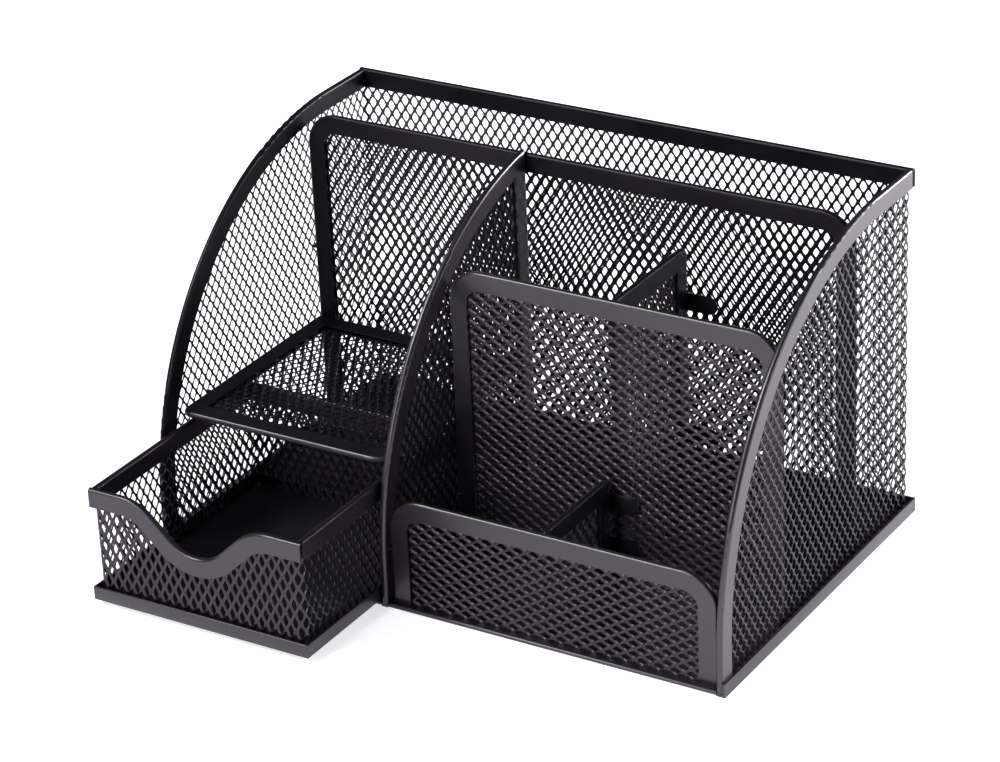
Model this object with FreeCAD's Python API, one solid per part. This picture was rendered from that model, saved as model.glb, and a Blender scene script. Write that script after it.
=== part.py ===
import FreeCAD, Part
import math
import os

# Mesh desk organizer: an expanded-metal shell on a sheet-steel tray, with mesh dividers,
# a shelf and a sliding drawer. Each mesh panel is a plain sheet here, held in a folded strip.
# Millimetres. X runs left to right, Y from front to back, Z up.
# The origin is the middle of the tray's underside.

V = FreeCAD.Vector

# Whole organizer
width = 222.4                 # over the tray's side flanges
depth = 142.0
height = 130.0
front_upright = 15.6          # straight part of the side's front edge, below the big arc

# Sheet metal
plate = 1.0                   # tray floors and flanges
flange_height = 5.0
hem_radius = 0.8              # rolled front edge of the base tray
mesh_thick = 1.0
rim_thick = 2.4               # over a folded strip
rim_width = 6.8
fold_radius = 1.05            # outside rounding of a folded strip
tall_corner = 12.0            # outside corners of the tall strips
small_corner = 3.0            # outside corners of the two small dividers' strips
shelf_left_corner = 4.0       # the shelf's front corner beside the shell
shelf_rear_corner = 2.0

# Dividers and shelf, to their middle planes
centre_divider_x = -18.2
rear_divider_pitch = 40.6     # in front of the tray's back
middle_divider_pitch = 48.5   # behind the tray's front
front_wall_pitch = 4.0        # behind the tray's front
pen_divider_x = 44.2
front_divider_x = 42.2
rear_divider_drop = 2.5       # its top below the shell's top
middle_divider_drop = 2.6     # its top below the side's curved edge
pen_divider_drop = 1.5        # its top below the middle divider's
front_wall_top = 41.0
shelf_height = 47.0
shelf_setback = 13.0          # its front edge behind the tray's front

# Welds
weld_gap = 0.7                # from a strip to the face it is welded to
bead_radius = 1.0
tall_bead_heights = (20.0, 75.0)
front_bead_height = 21.0
shelf_bead_inset = 18.0       # from the shelf's front and rear edges
tab_thick = 0.8
tab_width = 6.5
tab_reach = 11.0              # past its divider's strip
pen_tab_heights = (34.0, 84.3)
front_tab_heights = (15.6, 32.0)

# Drawer
drawer_side_gap = 0.5
drawer_floor_gap = 0.4        # above the base tray's rolled edge
drawer_top_gap = 1.8          # below the shelf
drawer_back_gap = 5.2         # to the rear divider when shut
drawer_pulled = 43.5          # how far it stands open
dip_depth = 16.0              # finger dip in its front
dip_slope = 43.0              # degrees
dip_radius = 14.0
shoulder_radius = 18.0

# Planes and faces that the pieces share
half_rim = rim_thick / 2
side_x = width / 2 - plate - half_rim
inner_x = side_x - half_rim
front_y = -depth / 2
back_y = depth / 2 - plate - half_rim
back_inner_y = back_y - half_rim
rear_divider_y = depth / 2 - rear_divider_pitch
rear_divider_face_y = rear_divider_y - half_rim
middle_divider_y = front_y + middle_divider_pitch
front_wall_y = front_y + front_wall_pitch
fold_sheet = (rim_thick - mesh_thick) / 2
arc_radius = height - front_upright
arc_centre_y = front_y + arc_radius

# Drawer bay, and the corners of the drawer's own tray in it
bay_left_x = -inner_x
bay_right_x = centre_divider_x - half_rim
right_bay_x = centre_divider_x + half_rim
drawer_low = (bay_left_x + drawer_side_gap, front_y - drawer_pulled,
              2 * hem_radius + drawer_floor_gap)
drawer_high = (bay_right_x - drawer_side_gap,
               rear_divider_face_y - drawer_back_gap - drawer_pulled,
               shelf_height - half_rim - drawer_top_gap)

# How a flat piece is turned once it is drawn
ACROSS = FreeCAD.Rotation(V(1, 0, 0), 90)     # drawn in x-z, thickness along y
ALONG = FreeCAD.Rotation(V(1, 1, 1), 120)     # drawn in y-z, thickness along x
LEVEL = FreeCAD.Rotation()                    # drawn in x-y, thickness along z


def line(a, b):
    return Part.LineSegment(V(*a, 0), V(*b, 0)).toShape()


def lines(points):
    return [line(a, b) for a, b in zip(points, points[1:])]


def arc(a, middle, b):
    return Part.Arc(V(*a, 0), V(*middle, 0), V(*b, 0)).toShape()


def on_circle(centre, radius, degrees):
    turn = math.radians(degrees)
    return (centre[0] + radius * math.cos(turn), centre[1] + radius * math.sin(turn))


def box(low, high):
    size = [b - a for a, b in zip(low, high)]
    return Part.makeBox(*size, V(*low))


def slab(edges, thickness):
    """A closed outline with a thickness, half of it on each side of its plane."""
    face = Part.Face(Part.Wire(edges))
    face.translate(V(0, 0, -thickness / 2))
    return face.extrude(V(0, 0, thickness))


def placed(shape, turn, x=0.0, y=0.0, z=0.0):
    shape.Placement = FreeCAD.Placement(V(x, y, z), turn)
    return shape


# Outlines. Each one takes an inset, so that a strip and its sheet come from one shape.

def rounded_rectangle(low, high, radii):
    """A rectangle with a radius at each corner: low left, low right, high right, high left."""
    corners = [(low[0], low[1], radii[0]), (high[0], low[1], radii[1]),
               (high[0], high[1], radii[2]), (low[0], high[1], radii[3])]
    ways = [(1, 0), (0, 1), (-1, 0), (0, -1)]
    starts = []
    ends = []
    edges = []
    for (x, y, radius), coming, going in zip(corners, ways[-1:] + ways, ways):
        start = (x - coming[0] * radius, y - coming[1] * radius)
        end = (x + going[0] * radius, y + going[1] * radius)
        starts.append(start)
        ends.append(end)
        if radius > 0:
            lean = radius * (1 - math.sqrt(0.5))
            bend = (x + (going[0] - coming[0]) * lean, y + (going[1] - coming[1]) * lean)
            edges.append(arc(start, bend, end))
    edges += [line(end, start) for end, start in zip(ends, starts[1:] + starts[:1])]
    return Part.sortEdges(edges)[0]


def arch(low, high, radius):
    """Upright panel with a strip up both sides and over its rounded top."""
    def outline(inset):
        corner = max(radius - inset, 0)
        return rounded_rectangle((low[0] + inset, low[1]), (high[0] - inset, high[1] - inset),
                                 (0, 0, corner, corner))
    return outline


def level_top(low, high):
    """Upright panel with a strip on its straight top edge only."""
    def outline(inset):
        return rounded_rectangle(low, (high[0], high[1] - inset), (0, 0, 0, 0))
    return outline


def loop(low, high, radii):
    """Level panel with a strip all round."""
    def outline(inset):
        return rounded_rectangle((low[0] + inset, low[1] + inset),
                                 (high[0] - inset, high[1] - inset),
                                 [max(radius - inset, 0) for radius in radii])
    return outline


def profile_height(y, inset=0.0):
    """Height of the side's top edge at y."""
    reach = max(arc_centre_y - y, 0)
    return front_upright + math.sqrt((arc_radius - inset) ** 2 - reach ** 2)


def side_profile(rear, rear_leg):
    """Front upright, big arc and flat top. With rear_leg the strip also turns down the rear."""
    def outline(inset):
        front = front_y + inset
        end = rear - inset if rear_leg else rear
        arc_end = min(end, arc_centre_y)
        top = profile_height(arc_end, inset)
        radius = arc_radius - inset
        last_angle = math.degrees(math.acos((arc_end - arc_centre_y) / radius))
        bend = on_circle((arc_centre_y, front_upright), radius, (180 + last_angle) / 2)
        edges = [line((front, plate), (front, front_upright))]
        edges.append(arc((front, front_upright), bend, (arc_end, top)))
        corners = [(end, top), (end, plate), (front, plate)]
        if end > arc_end:
            corners.insert(0, (arc_end, top))
        return edges + lines(corners)
    return outline


def dipped(low, high):
    """Drawer front: a level top with a smooth finger dip in its middle."""
    slope = math.radians(dip_slope)
    radii = dip_radius + shoulder_radius
    straight = (dip_depth - radii * (1 - math.cos(slope))) / math.sin(slope)
    half_run = radii * math.sin(slope) + straight * math.cos(slope)
    middle = (low[0] + high[0]) / 2
    dip_centre = (middle, high[1] - dip_depth + dip_radius)
    shoulder_y = high[1] - shoulder_radius
    half_turns = (0, dip_slope / 2, dip_slope)

    def outline(inset):
        top = high[1] - inset
        shoulder = shoulder_radius - inset
        dip = dip_radius + inset
        left = [on_circle((middle - half_run, shoulder_y), shoulder, 90 - turn)
                for turn in half_turns]
        right = [on_circle((middle + half_run, shoulder_y), shoulder, 90 + turn)
                 for turn in reversed(half_turns)]
        bottom = [on_circle(dip_centre, dip, 270 + turn) for turn in (-dip_slope, 0, dip_slope)]
        edges = lines([low, (low[0], top), left[0]])
        edges += [arc(*left), line(left[2], bottom[0]), arc(*bottom)]
        edges += [line(bottom[2], right[0]), arc(*right)]
        return edges + lines([right[2], (high[0], top), (high[0], low[1]), low])
    return outline


def sheet(outline):
    """The mesh panel, which fills the slot of its folded strip."""
    return slab(outline(fold_sheet), mesh_thick)


def strip(outline):
    """The strip folded over the panel's edge, wherever the outline moves with its inset."""
    block = slab(outline(0), rim_thick)
    inside = slab(outline(rim_width), 2 * rim_thick)
    folds = []
    for edge in block.Edges:
        rises = abs(edge.Vertexes[0].Point.z - edge.Vertexes[-1].Point.z) > rim_thick / 2
        middle = edge.valueAt((edge.FirstParameter + edge.LastParameter) / 2)
        if not rises and not inside.isInside(middle, 1e-4, True):
            folds.append(edge)
    return block.makeFillet(fold_radius, folds).cut(inside).cut(sheet(outline))


def panel(outline, turn, **offset):
    """A mesh sheet and its strip, in place."""
    return placed(sheet(outline), turn, **offset), placed(strip(outline), turn, **offset)


# Trays

def tray_pieces(low, high, floor_front):
    """Floor and the flanges on the left, right and rear."""
    return [box((low[0], floor_front, low[2]), (high[0], high[1], low[2] + plate)),
            box(low, (low[0] + plate, high[1], high[2])),
            box((high[0] - plate, low[1], low[2]), high),
            box((low[0], high[1] - plate, low[2]), high)]


def base_tray():
    low = (-width / 2, front_y, 0)
    high = (width / 2, depth / 2, flange_height)
    pieces = tray_pieces(low, high, front_y + hem_radius)
    feet = [(-width / 2, bay_left_x), (bay_right_x, right_bay_x), (inner_x, width / 2)]
    for left, right in feet:
        pieces.append(box((left, front_y, 0), (right, front_y + 2 * hem_radius, plate)))
    for (_, left), (right, _) in zip(feet, feet[1:]):
        start = V(left, front_y + hem_radius, hem_radius)
        pieces.append(Part.makeCylinder(hem_radius, right - left, start, V(1, 0, 0)))
    return pieces[0].fuse(pieces[1:]).removeSplitter()


def drawer_tray():
    high = (drawer_high[0], drawer_high[1], drawer_low[2] + flange_height)
    pieces = tray_pieces(drawer_low, high, drawer_low[1])
    pieces.append(box(drawer_low, (high[0], drawer_low[1] + plate, high[2])))
    return pieces[0].fuse(pieces[1:]).removeSplitter()


# Shell and dividers

def side_panel(x):
    return panel(side_profile(back_inner_y, False), ALONG, x=x)


def back_panel():
    half = side_x + half_rim
    return panel(level_top((-half, plate), (half, height)), ACROSS, y=back_y)


def rear_divider():
    top = height - rear_divider_drop
    return panel(arch((-inner_x, plate), (inner_x, top), tall_corner), ACROSS, y=rear_divider_y)


middle_divider_top = profile_height(middle_divider_y) - middle_divider_drop


def middle_divider():
    outline = arch((right_bay_x, plate), (inner_x, middle_divider_top), tall_corner)
    return panel(outline, ACROSS, y=middle_divider_y)


def front_wall():
    low = (right_bay_x + weld_gap, plate)
    high = (inner_x - weld_gap, front_wall_top)
    return panel(arch(low, high, tall_corner), ACROSS, y=front_wall_y)


def centre_divider():
    return panel(side_profile(rear_divider_face_y, True), ALONG, x=centre_divider_x)


def small_divider(front, rear_sheet_face, top, x):
    """Runs from the back of one panel to the tabs on the sheet of the next."""
    outline = arch((front, plate), (rear_sheet_face - tab_thick, top), small_corner)
    return panel(outline, ALONG, x=x)


def pen_divider():
    return small_divider(middle_divider_y + half_rim, rear_divider_y - mesh_thick / 2,
                         middle_divider_top - pen_divider_drop, pen_divider_x)


def front_divider():
    return small_divider(front_wall_y + half_rim, middle_divider_y - mesh_thick / 2,
                         front_wall_top, front_divider_x)


def tabs(divider_x, sheet_face, heights):
    """Round-ended ears behind a small divider's rear strip, welded to the next panel."""
    left = divider_x - half_rim
    round_x = divider_x + half_rim + tab_reach - tab_width / 2
    ears = []
    for middle in heights:
        low = (left, sheet_face - tab_thick, middle - tab_width / 2)
        high = (round_x, sheet_face, middle + tab_width / 2)
        centre = V(round_x, sheet_face - tab_thick, middle)
        end = Part.makeCylinder(tab_width / 2, tab_thick, centre, V(0, 1, 0))
        ears.append(box(low, high).fuse(end).removeSplitter())
    return Part.makeCompound(ears)


def shelf():
    low = (bay_left_x, front_y + shelf_setback)
    high = (bay_right_x, rear_divider_face_y)
    radii = (shelf_left_corner, tall_corner, shelf_rear_corner, shelf_rear_corner)
    return panel(loop(low, high, radii), LEVEL, z=shelf_height)


def bead(x, y, z):
    """One weld between a strip and the face beside it, from x to x + weld_gap."""
    return Part.makeCylinder(bead_radius, weld_gap, V(x, y, z), V(1, 0, 0))


def weld_beads():
    beads = [bead(x, y, z)
             for x, y in ((-inner_x - weld_gap, rear_divider_y), (inner_x, rear_divider_y),
                          (inner_x, middle_divider_y),
                          (right_bay_x - weld_gap, middle_divider_y))
             for z in tall_bead_heights]
    beads += [bead(x, front_wall_y, front_bead_height)
              for x in (right_bay_x, inner_x - weld_gap)]
    shelf_ys = (front_y + shelf_setback + shelf_bead_inset, rear_divider_face_y - shelf_bead_inset)
    beads += [bead(x, y, shelf_height)
              for x in (bay_left_x - weld_gap, bay_right_x) for y in shelf_ys]
    return Part.makeCompound(beads)


# Drawer walls, each standing just inside the drawer tray's flange

wall_inset = plate + half_rim
wall_foot = drawer_low[2] + plate


def drawer_front():
    outline = dipped((drawer_low[0] + plate, wall_foot), (drawer_high[0] - plate, drawer_high[2]))
    return panel(outline, ACROSS, y=drawer_low[1] + wall_inset)


def drawer_back():
    outline = level_top((drawer_low[0] + plate, wall_foot),
                        (drawer_high[0] - plate, drawer_high[2]))
    return panel(outline, ACROSS, y=drawer_high[1] - wall_inset)


def drawer_side(x):
    past_end = plate + rim_thick
    outline = level_top((drawer_low[1] + past_end, wall_foot),
                        (drawer_high[1] - past_end, drawer_high[2]))
    return panel(outline, ALONG, x=x)


panels = {
    "side_%s_left": side_panel(-side_x),
    "side_%s_right": side_panel(side_x),
    "back_%s": back_panel(),
    "rear_divider_%s": rear_divider(),
    "middle_divider_%s": middle_divider(),
    "centre_divider_%s": centre_divider(),
    "pen_divider_%s": pen_divider(),
    "front_divider_%s": front_divider(),
    "front_wall_%s": front_wall(),
    "shelf_%s": shelf(),
    "drawer_front_%s": drawer_front(),
    "drawer_back_%s": drawer_back(),
    "drawer_side_%s_left": drawer_side(drawer_low[0] + wall_inset),
    "drawer_side_%s_right": drawer_side(drawer_high[0] - wall_inset),
}

nodes = {
    "base_tray": base_tray(),
    "drawer_tray": drawer_tray(),
    "pen_divider_tabs": tabs(pen_divider_x, rear_divider_y - mesh_thick / 2, pen_tab_heights),
    "front_divider_tabs": tabs(front_divider_x, middle_divider_y - mesh_thick / 2,
                               front_tab_heights),
    "weld_beads": weld_beads(),
}
for pattern, (mesh, rim) in panels.items():
    nodes[pattern % "mesh"] = mesh
    nodes[pattern % "rim"] = rim

os.makedirs("parts", exist_ok=True)
for name, shape in nodes.items():
    shape.exportStep("parts/" + name + ".step")
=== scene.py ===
import math
import bpy
from mathutils import Euler, Matrix, Vector
from mathutils.bvhtree import BVHTree


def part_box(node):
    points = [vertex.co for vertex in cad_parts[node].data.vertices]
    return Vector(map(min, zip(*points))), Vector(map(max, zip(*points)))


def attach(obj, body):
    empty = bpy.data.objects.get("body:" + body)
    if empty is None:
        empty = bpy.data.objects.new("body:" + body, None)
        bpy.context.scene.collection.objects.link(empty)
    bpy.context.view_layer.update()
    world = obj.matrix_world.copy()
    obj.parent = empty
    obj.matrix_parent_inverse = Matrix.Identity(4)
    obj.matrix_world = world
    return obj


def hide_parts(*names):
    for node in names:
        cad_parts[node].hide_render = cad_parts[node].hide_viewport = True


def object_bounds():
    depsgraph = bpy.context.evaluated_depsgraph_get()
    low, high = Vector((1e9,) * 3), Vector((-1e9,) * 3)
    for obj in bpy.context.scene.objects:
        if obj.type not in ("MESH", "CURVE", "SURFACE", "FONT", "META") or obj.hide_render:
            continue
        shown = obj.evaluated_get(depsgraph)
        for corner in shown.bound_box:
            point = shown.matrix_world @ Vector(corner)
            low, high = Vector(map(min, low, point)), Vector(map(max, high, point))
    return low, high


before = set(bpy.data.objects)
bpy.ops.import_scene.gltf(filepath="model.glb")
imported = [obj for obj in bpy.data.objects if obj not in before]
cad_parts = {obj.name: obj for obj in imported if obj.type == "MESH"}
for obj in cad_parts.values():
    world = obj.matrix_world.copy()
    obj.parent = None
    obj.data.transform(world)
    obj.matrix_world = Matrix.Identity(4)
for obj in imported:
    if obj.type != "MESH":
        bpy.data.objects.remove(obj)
cadLow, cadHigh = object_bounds()

mm = 0.001


# Small helpers

def clearSelection():
    if bpy.context.mode != "OBJECT":
        bpy.ops.object.mode_set(mode="OBJECT")
    bpy.ops.object.select_all(action="DESELECT")


def activate(piece):
    clearSelection()
    piece.select_set(True)
    bpy.context.view_layer.objects.active = piece


def named(name):
    piece = bpy.context.object
    piece.name = name
    piece.data.name = name
    return piece


# leaves the piece in edit mode with only the wanted vertices selected
def selectVertices(piece, wanted):
    activate(piece)
    bpy.ops.object.mode_set(mode="EDIT")
    bpy.ops.mesh.select_mode(type="VERT")
    bpy.ops.mesh.select_all(action="DESELECT")
    bpy.ops.object.mode_set(mode="OBJECT")
    for vertex in piece.data.vertices:
        vertex.select = wanted(vertex)
    bpy.ops.object.mode_set(mode="EDIT")


def applyModifiers(piece):
    activate(piece)
    for modifier in list(piece.modifiers):
        bpy.ops.object.modifier_apply(modifier=modifier.name)


# moves a piece's place and turn into its mesh
def settle(piece, location=(0, 0, 0), turn=(0, 0, 0)):
    activate(piece)
    piece.location = location
    piece.rotation_euler = [math.radians(angle) for angle in turn]
    bpy.ops.object.transform_apply(location=True, rotation=True, scale=True)


def finishPiece(piece, body, slot, crease, *nodes):
    piece.data.materials.clear()
    piece.data.materials.append(coatFor(nodes[0], slot))
    activate(piece)
    bpy.ops.object.shade_smooth_by_angle(angle=math.radians(crease))
    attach(piece, body)
    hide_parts(*nodes)
    print("piece", piece.name, len(piece.data.polygons), "faces")


# Powder coat: near-black satin with a fine orange peel and a faint cool tint

coatLook = {
    "mesh_coat": {"dark": (0.0025, 0.0025, 0.0032), "light": (0.0050, 0.0048, 0.0060),
                  "smooth": 0.24, "rough": 0.36, "peel": 0.05, "sheen": 0.38},
    "strip_coat": {"dark": (0.0040, 0.0038, 0.0052), "light": (0.0075, 0.0070, 0.0098),
                   "smooth": 0.28, "rough": 0.38, "peel": 0.12, "sheen": 0.5},
    "tray_coat": {"dark": (0.0035, 0.0034, 0.0044), "light": (0.0065, 0.0062, 0.0082),
                  "smooth": 0.32, "rough": 0.44, "peel": 0.14, "sheen": 0.5},
}
# painted shade: parts that sit in shade inside the shell get a duller copy of their coat, with
# weaker reflections
paintedShadeSheen = 0.10
paintedShadeNodes = ["back_rim", "side_rim_left", "rear_divider_rim", "rear_divider_mesh",
              "pen_divider_rim", "pen_divider_tabs", "front_divider_rim", "front_divider_tabs"]
coatGrain = {
    "gloss": 1.65,            # index of refraction of the lacquer
    "tint": (0.92, 0.85, 1.0),
    "peel": (1500.0, 2.0),    # waves per metre and detail of the orange peel
    "patch": (55.0, 4.0),     # slow changes of shade
    "speck": (5200.0, 1.0),   # fine grit
    "patchSpan": (0.35, 0.68),   # where a patch is wholly dark and wholly light
    "speckSpan": (0.3, 0.7),
    "depth": 0.06 * mm,
}


def powderCoat(name, look):
    material = bpy.data.materials.new("powder_" + name)
    material.use_nodes = True
    nodes = material.node_tree.nodes
    link = material.node_tree.links.new
    shader = nodes["Principled BSDF"]
    shader.inputs["IOR"].default_value = coatGrain["gloss"]
    shader.inputs["Specular Tint"].default_value = (*coatGrain["tint"], 1)
    shader.inputs["Specular IOR Level"].default_value = look["sheen"]
    place = nodes.new("ShaderNodeTexCoord")

    def noise(scale, detail):
        node = nodes.new("ShaderNodeTexNoise")
        node.inputs["Scale"].default_value = scale
        node.inputs["Detail"].default_value = detail
        link(place.outputs["Object"], node.inputs["Vector"])
        return node.outputs["Fac"]

    patch = noise(*coatGrain["patch"])
    peel = noise(*coatGrain["peel"])
    speck = noise(*coatGrain["speck"])

    shade = nodes.new("ShaderNodeValToRGB")
    stops = shade.color_ramp.elements
    for stop, position, colour in zip(stops, coatGrain["patchSpan"], (look["dark"], look["light"])):
        stop.position = position
        stop.color = (*colour, 1)
    link(patch, shade.inputs["Fac"])
    link(shade.outputs["Color"], shader.inputs["Base Color"])

    gloss = nodes.new("ShaderNodeMapRange")
    gloss.inputs["From Min"].default_value = coatGrain["speckSpan"][0]
    gloss.inputs["From Max"].default_value = coatGrain["speckSpan"][1]
    gloss.inputs["To Min"].default_value = look["smooth"]
    gloss.inputs["To Max"].default_value = look["rough"]
    link(speck, gloss.inputs["Value"])
    link(gloss.outputs["Result"], shader.inputs["Roughness"])

    bump = nodes.new("ShaderNodeBump")
    bump.inputs["Strength"].default_value = look["peel"]
    bump.inputs["Distance"].default_value = coatGrain["depth"]
    link(peel, bump.inputs["Height"])
    link(bump.outputs["Normal"], shader.inputs["Normal"])
    return material


coats = {name: powderCoat(name, look) for name, look in coatLook.items()}
# painted shade: copies of each coat that reflect less, for the shaded parts listed above
paintedShadeCoats = {name: powderCoat(name + "_inner", dict(look, sheen=paintedShadeSheen))
              for name, look in coatLook.items()}


# the shaded parts get the painted-shade copy of their coat
def coatFor(node, slot):
    return (paintedShadeCoats if node in paintedShadeNodes else coats)[slot]


for name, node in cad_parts.items():
    for index, old in enumerate(node.data.materials):
        node.material_slots[index].material = coatFor(name, old.name)
print("coats on", len(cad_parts), "nodes")


# Expanded metal. A panel is a lattice of diamond cells, each a flat ring about its hole.

strand = {
    "width": 0.78 * mm,
    "thickness": 0.52 * mm,
    "edgeShare": 0.60,        # thickness at a strand's edge, as a share of its middle
    "lean": 0.27 * mm,        # a strand's edges stand this far in front of and behind the sheet
    "crease": 60.0,           # a sharper angle than this stays an edge
    "longCorner": 0.93,       # how far the hole's corners reach
    "shortCorner": 0.85,
    "weld": 0.015 * mm,       # corners of neighbouring cells nearer than this become one
    "reach": 0.20 * mm,       # how far a cell may stand out of the sheet that it fills
    "cornerReach": 0.80 * mm,    # the same beside a fold, which cuts inside the sheets' corner
}
wrap = {
    "columnPitch": 3.95 * mm,
    "rowPitch": 6.2 * mm,
    "cornerTurn": 45.0,       # each corner is two folds, half a pitch apart
}
cellVertices = 16
outerVertices = 8             # the first ones of a cell, on the strands' middle line


# one ring in the XZ plane, centred half a pitch before the origin; its strands lean like
# slats across the diamond's short way
def addCell(columnPitch, rowPitch, lean):
    side = columnPitch * rowPitch / 2 / math.hypot(columnPitch, rowPitch)
    share = 1 - strand["width"] / 2 / side
    short = 0 if columnPitch < rowPitch else 2
    quarter = min(columnPitch, rowPitch) / 4
    bpy.ops.mesh.primitive_circle_add(vertices=4, radius=1, fill_type="NOTHING")
    cell = named("cell")
    settle(cell, turn=(90, 0, 0))
    bpy.ops.object.mode_set(mode="EDIT")
    bpy.ops.transform.resize(value=(columnPitch / 2, 1, rowPitch / 2), center_override=(0, 0, 0))
    bpy.ops.mesh.subdivide(number_cuts=1)
    bpy.ops.mesh.extrude_edges_move()
    bpy.ops.transform.resize(value=(share, 1, share), center_override=(0, 0, 0))
    bpy.ops.object.mode_set(mode="OBJECT")
    ring = cell.data.vertices
    for vertex in ring[outerVertices:]:
        if abs(vertex.co[short]) < quarter / 10:
            vertex.co *= strand["longCorner"]
        elif abs(vertex.co[2 - short]) < quarter / 10:
            vertex.co *= strand["shortCorner"]
        across = max(-1, min(1, vertex.co[short] / (share * quarter)))
        vertex.co.y = lean * strand["lean"] * across
    ridge = cell.vertex_groups.new(name="ridge")
    ridge.add([vertex.index for vertex in ring[:outerVertices]], 1, "REPLACE")
    settle(cell, (-columnPitch / 2, 0, -rowPitch / 2))
    return cell


# cells in the XZ plane, the first one centred half a pitch before the origin
def addLattice(name, columns, rows, columnPitch, rowPitch, lean):
    lattice = addCell(columnPitch, rowPitch, lean)
    lattice.name = name
    lattice.data.name = name
    for step, count in (((columnPitch / 2, 0, rowPitch / 2), 2),
                        ((columnPitch, 0, 0), columns),
                        ((0, 0, rowPitch), rows)):
        array = lattice.modifiers.new("array", "ARRAY")
        array.use_relative_offset = False
        array.use_constant_offset = True
        array.constant_offset_displace = step
        array.count = count
    applyModifiers(lattice)
    return lattice


def sheetTree(sheets):
    points = []
    faces = []
    for sheet in sheets:
        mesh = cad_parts[sheet].data
        first = len(points)
        points += [vertex.co.copy() for vertex in mesh.vertices]
        faces += [[first + index for index in face.vertices] for face in mesh.polygons]
    return BVHTree.FromPolygons(points, faces)


def cellCorners(vertices, cell):
    return [vertices[cell * cellVertices + index].co for index in range(outerVertices)]


# keeps the cells that lie in the sheets; a cell may hang below their foot, to be cut there
def dropCellsOutside(lattice, sheets, foot, folds=()):
    tree = sheetTree(sheets)
    vertices = lattice.data.vertices
    outside = set()
    for cell in range(len(vertices) // cellVertices):
        corners = cellCorners(vertices, cell)
        if max(corner.z for corner in corners) <= foot + strand["width"] / 4:
            outside.add(cell)
            continue
        for corner in corners:
            held = Vector((corner.x, corner.y, max(corner.z, foot)))
            place, normal = tree.find_nearest(held)[:2]
            folded = any(math.dist(corner.xy, fold) < wrap["columnPitch"] for fold in folds)
            reach = strand["cornerReach" if folded and abs(normal.z) < 0.5 else "reach"]
            if (held - place).dot(normal) > reach:
                outside.add(cell)
                break
    selectVertices(lattice, lambda vertex: vertex.index // cellVertices in outside)
    bpy.ops.mesh.delete(type="VERT")
    bpy.ops.object.mode_set(mode="OBJECT")


# joins the cells to each other and gives the sheet its thickness
def thicken(lattice):
    activate(lattice)
    bpy.ops.object.mode_set(mode="EDIT")
    bpy.ops.mesh.select_all(action="SELECT")
    bpy.ops.mesh.remove_doubles(threshold=strand["weld"])
    bpy.ops.mesh.normals_make_consistent(inside=False)
    bpy.ops.object.mode_set(mode="OBJECT")
    solid = lattice.modifiers.new("thickness", "SOLIDIFY")
    solid.thickness = strand["thickness"]
    solid.offset = 0
    solid.vertex_group = "ridge"
    solid.thickness_vertex_group = strand["edgeShare"]
    applyModifiers(lattice)


def cutFoot(lattice, foot):
    activate(lattice)
    bpy.ops.object.mode_set(mode="EDIT")
    bpy.ops.mesh.select_all(action="SELECT")
    bpy.ops.mesh.bisect(plane_co=(0, 0, foot), plane_no=(0, 0, 1), use_fill=True,
                        clear_inner=True)
    bpy.ops.object.mode_set(mode="OBJECT")


# Flat panels: the axis that each faces, its diamonds and which way their strands lean

flatPanels = {
    "rear_divider_mesh": {"plane": "y", "columnPitch": 3.95 * mm, "rowPitch": 6.2 * mm, "lean": 1},
    "middle_divider_mesh": {"plane": "y", "columnPitch": 6.2 * mm, "rowPitch": 3.9 * mm, "lean": -1},
    "front_wall_mesh": {"plane": "y", "columnPitch": 6.2 * mm, "rowPitch": 3.9 * mm, "lean": -1},
    "centre_divider_mesh": {"plane": "x", "columnPitch": 3.95 * mm, "rowPitch": 6.2 * mm, "lean": 1},
    "pen_divider_mesh": {"plane": "x", "columnPitch": 3.95 * mm, "rowPitch": 6.2 * mm, "lean": 1},
    "front_divider_mesh": {"plane": "x", "columnPitch": 3.95 * mm, "rowPitch": 6.2 * mm, "lean": 1},
    "shelf_mesh": {"plane": "z", "columnPitch": 3.7 * mm, "rowPitch": 6.2 * mm, "lean": 1},
}


# the whole number of pitches in a span, and the pitch that then fills it
def fitted(span, pitch):
    count = max(1, round(span / pitch))
    return count, span / count


def flatPanel(node, look):
    low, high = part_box(node)
    middle = (low + high) / 2
    across, up = {"y": (0, 2), "x": (1, 2), "z": (0, 1)}[look["plane"]]
    columns, columnPitch = fitted(high[across] - low[across], look["columnPitch"])
    rows, rowPitch = fitted(high[up] - low[up], look["rowPitch"])
    lattice = addLattice(node + "_lattice", columns + 1, rows + 1, columnPitch, rowPitch,
                         look["lean"])
    if look["plane"] == "y":
        settle(lattice, (low.x, middle.y, low.z))
    elif look["plane"] == "x":
        settle(lattice, (middle.x, low.y, low.z), (0, 0, 90))
    else:
        settle(lattice, (low.x, low.y, middle.z), (-90, 0, 0))
    upright = look["plane"] != "z"
    dropCellsOutside(lattice, [node], low.z if upright else -high.z)
    thicken(lattice)
    if upright:
        cutFoot(lattice, low.z)
    finishPiece(lattice, "frame", "mesh_coat", strand["crease"], node)


for node, look in flatPanels.items():
    flatPanel(node, look)
print("flat mesh panels ready")

# Shell and drawer: one strip of mesh each, folded round their upright corners

shellWrap = {"fold": -1, "armLean": -1, "spare": 1}    # fold: 1 turns the arms to the rear
drawerWrap = {"fold": 1, "armLean": 1, "spare": 0}     # spare: cells past the arms' ends
cornerShare = math.sqrt(0.5)  # of a pitch that the two folds of a corner take from a wall


# half pitches on the flat of a wall, between the folds of its two corners
def halfColumns(span, pitch):
    return round(2 * (span / pitch - cornerShare))


# turns what lies on one side of an upright fold line
def foldEnd(lattice, line, side, turn):
    selectVertices(lattice, lambda vertex: side * (vertex.co.x - line) > strand["weld"])
    bpy.ops.transform.rotate(value=-math.radians(side * turn), orient_axis="Z",
                             center_override=(line, 0, 0))
    bpy.ops.object.mode_set(mode="OBJECT")


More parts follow.
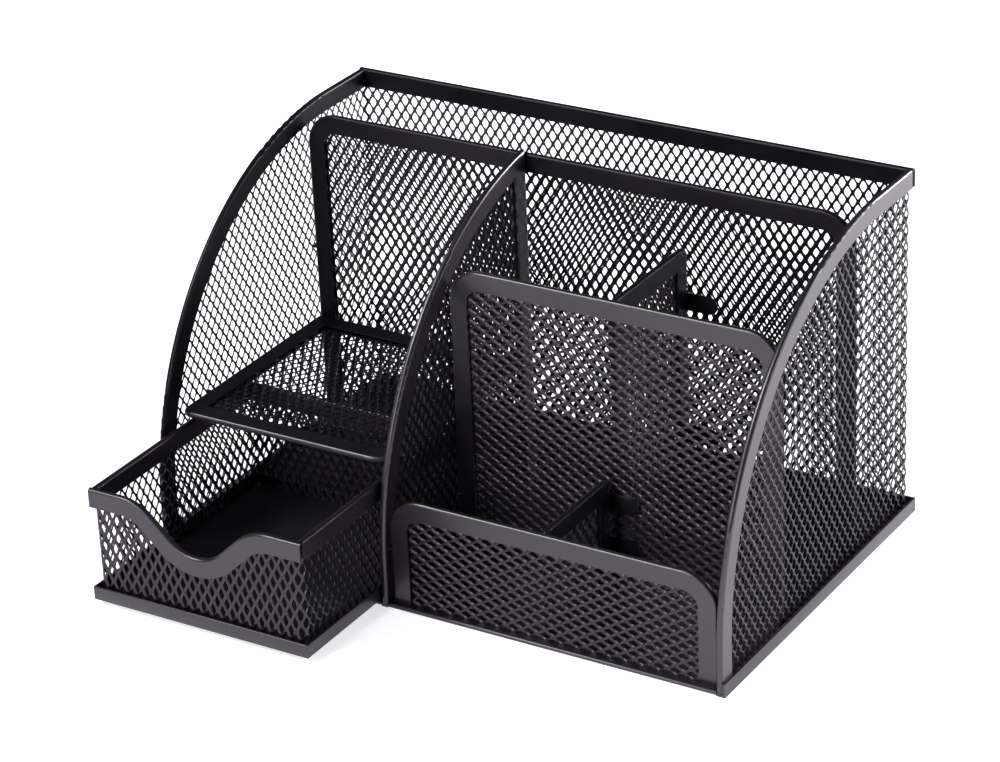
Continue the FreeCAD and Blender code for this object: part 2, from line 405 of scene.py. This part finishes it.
# a strip whose middle wall is flat half pitches wide, and that is folded into its arms;
# each arm is a list of half pitches from corner to corner
def wrappedMesh(name, pitch, height, flat, arms, look):
    rows, rowPitch = fitted(height, wrap["rowPitch"])
    reaches = [sum(arm) + len(arm) for arm in arms]
    columns = (reaches[0] + flat + reaches[1]) // 2 + look["spare"]
    lattice = addLattice(name, columns, rows + 1, pitch, rowPitch, -look["fold"])
    settle(lattice, (-(reaches[0] + flat / 2) * pitch / 2, 0, 0))
    selectVertices(lattice, lambda vertex: abs(vertex.co.x) > (flat / 2 + 1) * pitch / 2)
    bpy.ops.transform.resize(value=(1, look["armLean"], 1), center_override=(0, 0, 0))
    bpy.ops.object.mode_set(mode="OBJECT")
    for side, arm in zip((-1, 1), arms):
        lines = []
        reach = flat / 2
        for wall in arm:
            lines += [reach, reach + 1]
            reach += 1 + wall
        for line in reversed(lines):
            foldEnd(lattice, side * line * pitch / 2, side, look["fold"] * wrap["cornerTurn"])
    return lattice


# moves the cells whose middle is wanted to a piece of their own
def splitCells(lattice, name, wanted):
    vertices = lattice.data.vertices
    chosen = set()
    for cell in range(len(vertices) // cellVertices):
        if wanted(sum(cellCorners(vertices, cell), Vector()) / outerVertices):
            chosen.add(cell)
    selectVertices(lattice, lambda vertex: vertex.index // cellVertices in chosen)
    bpy.ops.mesh.separate(type="SELECTED")
    bpy.ops.object.mode_set(mode="OBJECT")
    part = [piece for piece in bpy.context.selected_objects if piece != lattice][0]
    part.name = name
    part.data.name = name
    return part


def shellMesh():
    leftLow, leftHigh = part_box("side_mesh_left")
    rightLow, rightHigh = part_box("side_mesh_right")
    backLow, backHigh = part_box("back_mesh")
    left = (leftLow.x + leftHigh.x) / 2
    right = (rightLow.x + rightHigh.x) / 2
    back = (backLow.y + backHigh.y) / 2
    foot = backLow.z
    flat = 2 * (halfColumns(right - left, wrap["columnPitch"]) // 2)
    pitch = (right - left) / (flat / 2 + cornerShare)
    side = 2 * math.ceil((back - leftLow.y) / pitch)
    lattice = wrappedMesh("back_lattice", pitch, backHigh.z - foot, flat, [[side], [side]],
                          shellWrap)
    settle(lattice, ((left + right) / 2, back, foot))
    dropCellsOutside(lattice, ["side_mesh_left", "back_mesh", "side_mesh_right"], foot,
                     [(left, back), (right, back)])
    corner = back - cornerShare * pitch / 2 - pitch / 4
    leftPart = splitCells(lattice, "side_lattice_left",
                          lambda middle: middle.y < corner and middle.x < 0)
    rightPart = splitCells(lattice, "side_lattice_right",
                           lambda middle: middle.y < corner and middle.x > 0)
    for piece, node in ((lattice, "back_mesh"), (leftPart, "side_mesh_left"),
                        (rightPart, "side_mesh_right")):
        thicken(piece)
        cutFoot(piece, foot)
        finishPiece(piece, "frame", "mesh_coat", strand["crease"], node)


def drawerMesh():
    walls = ["drawer_front_mesh", "drawer_back_mesh",
             "drawer_side_mesh_left", "drawer_side_mesh_right"]
    middles = [(low + high) / 2 for low, high in map(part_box, walls)]
    front, back, left, right = middles[0].y, middles[1].y, middles[2].x, middles[3].x
    low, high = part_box("drawer_front_mesh")
    flat = halfColumns(right - left, wrap["columnPitch"])
    pitch = (right - left) / (flat / 2 + cornerShare)
    side = halfColumns(back - front, pitch)
    arms = [[side, flat // 2], [side, flat - flat // 2]]
    lattice = wrappedMesh("drawer_lattice", pitch, high.z - low.z, flat, arms, drawerWrap)
    settle(lattice, ((left + right) / 2, front, low.z))
    dropCellsOutside(lattice, walls, low.z,
                     [(x, y) for x in (left, right) for y in (front, back)])
    thicken(lattice)
    cutFoot(lattice, low.z)
    finishPiece(lattice, "drawer", "mesh_coat", strand["crease"], *walls)


shellMesh()
drawerMesh()
print("shell and drawer mesh ready")

# Trays and tabs: sheet metal whose cut and bent edges are softened by the powder

softBevel = {"weld": 0.003 * mm, "flat": 2.0, "sharp": 40.0, "crease": 30.0, "segments": 3}
softEdges = {
    "base_tray": {"body": "frame", "slot": "tray_coat", "width": 0.30 * mm},
    "drawer_tray": {"body": "drawer", "slot": "tray_coat", "width": 0.30 * mm},
    "pen_divider_tabs": {"body": "frame", "slot": "strip_coat", "width": 0.20 * mm},
    "front_divider_tabs": {"body": "frame", "slot": "strip_coat", "width": 0.20 * mm},
}


def softenedCopy(node, look):
    clearSelection()
    piece = bpy.data.objects.new(node + "_sheet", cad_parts[node].data.copy())
    bpy.context.scene.collection.objects.link(piece)
    activate(piece)
    bpy.ops.object.mode_set(mode="EDIT")
    bpy.ops.mesh.select_all(action="SELECT")
    bpy.ops.mesh.remove_doubles(threshold=softBevel["weld"])
    bpy.ops.mesh.dissolve_limited(angle_limit=math.radians(softBevel["flat"]))
    bpy.ops.object.mode_set(mode="OBJECT")
    bevel = piece.modifiers.new("softEdge", "BEVEL")
    bevel.width = look["width"]
    bevel.segments = softBevel["segments"]
    bevel.limit_method = "ANGLE"
    bevel.angle_limit = math.radians(softBevel["sharp"])
    bevel.use_clamp_overlap = True
    applyModifiers(piece)
    finishPiece(piece, look["body"], look["slot"], softBevel["crease"], node)


for node, look in softEdges.items():
    softenedCopy(node, look)
print("trays and tabs softened")

# Studio: camera angles in degrees, places in metres

studio = {
    "azimuth": 32.27,
    "elevation": 26.1,
    "roll": -2.61,
    "lens": 127.8,
    "farClip": 50.0,
    "eye": (0.5733, -0.9287, 0.5926),
    "floorSize": 12.0,
    "floorShade": (0.90, 0.90, 0.91),
    "floorGlow": 0.72,
    "floorRough": 0.9,
    "floorSheen": 0.1,
    "worldShade": (0.95, 0.95, 1.0),
    "worldStrength": 0.09,
}
lamps = {
    "topLeft": {"at": (-1.0, -1.1, 1.7), "size": 0.7, "power": 40.0},
    "frontLeft": {"at": (-0.5, -2.0, 0.85), "size": 0.7, "power": 16.0},
    "right": {"at": (1.9, 0.2, 1.0), "size": 0.8, "power": 12.0},
    "lowRight": {"at": (0.9, 1.0, 0.45), "size": 0.5, "power": 37.0},
}


def addCamera():
    clearSelection()
    bpy.ops.object.camera_add(location=studio["eye"])
    camera = bpy.context.object
    camera.data.lens = studio["lens"]
    camera.data.clip_end = studio["farClip"]
    aim = Euler((math.radians(90 - studio["elevation"]), 0, math.radians(studio["azimuth"])))
    roll = Matrix.Rotation(math.radians(studio["roll"]), 3, "Z")
    camera.rotation_euler = (aim.to_matrix() @ roll).to_euler()
    bpy.context.scene.camera = camera


def addLamp(name, lamp):
    clearSelection()
    bpy.ops.object.light_add(type="AREA", location=lamp["at"])
    light = bpy.context.object
    light.name = name
    light.data.shape = "SQUARE"
    light.data.size = lamp["size"]
    light.data.energy = lamp["power"]
    middle = (cadLow + cadHigh) / 2
    light.rotation_euler = (Vector(lamp["at"]) - middle).to_track_quat("Z", "Y").to_euler()


def addFloor():
    clearSelection()
    bpy.ops.mesh.primitive_plane_add(size=studio["floorSize"], location=(0, 0, cadLow.z))
    floor = named("floor")
    paint = bpy.data.materials.new("floor_paint")
    paint.use_nodes = True
    shader = paint.node_tree.nodes["Principled BSDF"]
    shader.inputs["Base Color"].default_value = (*studio["floorShade"], 1)
    shader.inputs["Roughness"].default_value = studio["floorRough"]
    shader.inputs["Specular IOR Level"].default_value = studio["floorSheen"]
    shader.inputs["Emission Color"].default_value = (*studio["floorShade"], 1)
    shader.inputs["Emission Strength"].default_value = studio["floorGlow"]
    floor.data.materials.append(paint)


def addWorld():
    world = bpy.data.worlds.new("studio")
    world.use_nodes = True
    sky = world.node_tree.nodes["Background"]
    sky.inputs["Color"].default_value = (*studio["worldShade"], 1)
    sky.inputs["Strength"].default_value = studio["worldStrength"]
    bpy.context.scene.world = world
    bpy.context.scene.view_settings.view_transform = "Standard"


addCamera()
for name, lamp in lamps.items():
    addLamp(name, lamp)
addFloor()
addWorld()
print("studio ready")
